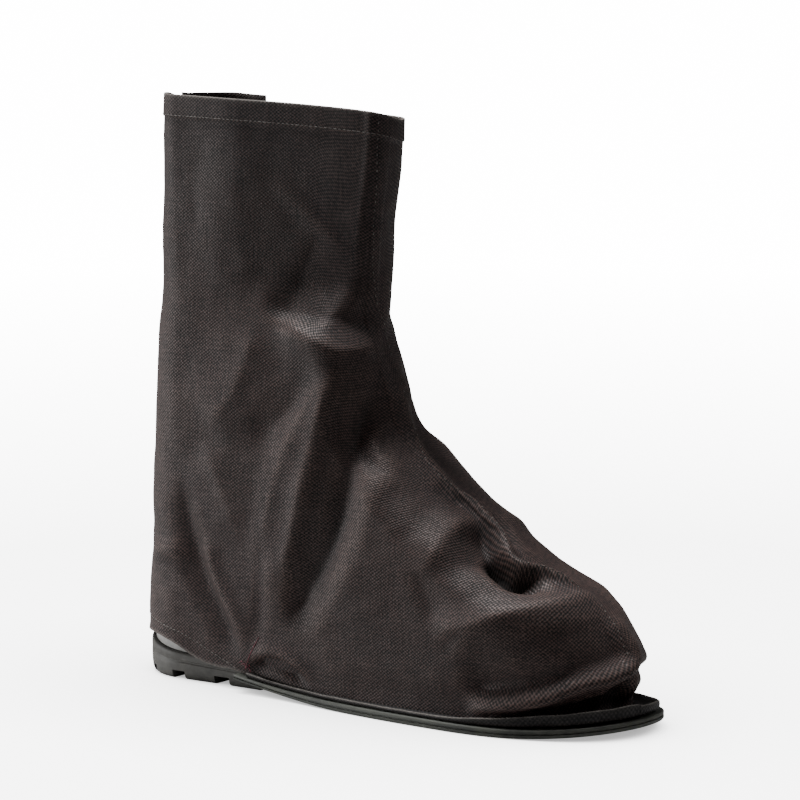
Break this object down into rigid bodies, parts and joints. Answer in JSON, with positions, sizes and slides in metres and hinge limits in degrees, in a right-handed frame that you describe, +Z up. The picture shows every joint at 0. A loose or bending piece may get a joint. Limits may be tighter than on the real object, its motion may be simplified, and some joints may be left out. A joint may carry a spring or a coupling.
{
  "type": "rain gaiter",
  "caption": "Right rain gaiter: slack coated-fabric overboot with hemmed collar, front seam and rear closure flap, on a thin forefoot sole with a lugged heel, worn over a shoe in the wet.",
  "frame": {"origin": "on the floor, under the middle of the gaiter's overall box", "axes": "+X forward to the toe, -Y to the outer side of the right foot, +Z up"},
  "size_m": [0.3212, 0.1072, 0.3165],
  "materials": {
    "coated_polyester": "coarse plain weave, matte with a faint coated sheen",
    "welt_cloth": "folded fabric strip, matte",
    "sole_rubber": "moulded, satin",
    "heel_rubber": "moulded, satin",
    "counter_grey": "smooth and slightly glossy",
    "hook_and_loop": "fuzzy pile"
  },
  "bodies": {
    "root": {"upper": "coated_polyester", "sole": "sole_rubber", "heel": "heel_rubber", "heel_counter": "counter_grey", "welt": "welt_cloth", "closure_flap": "coated_polyester", "closure_tape": "hook_and_loop"}
  },
  "joints": []
}
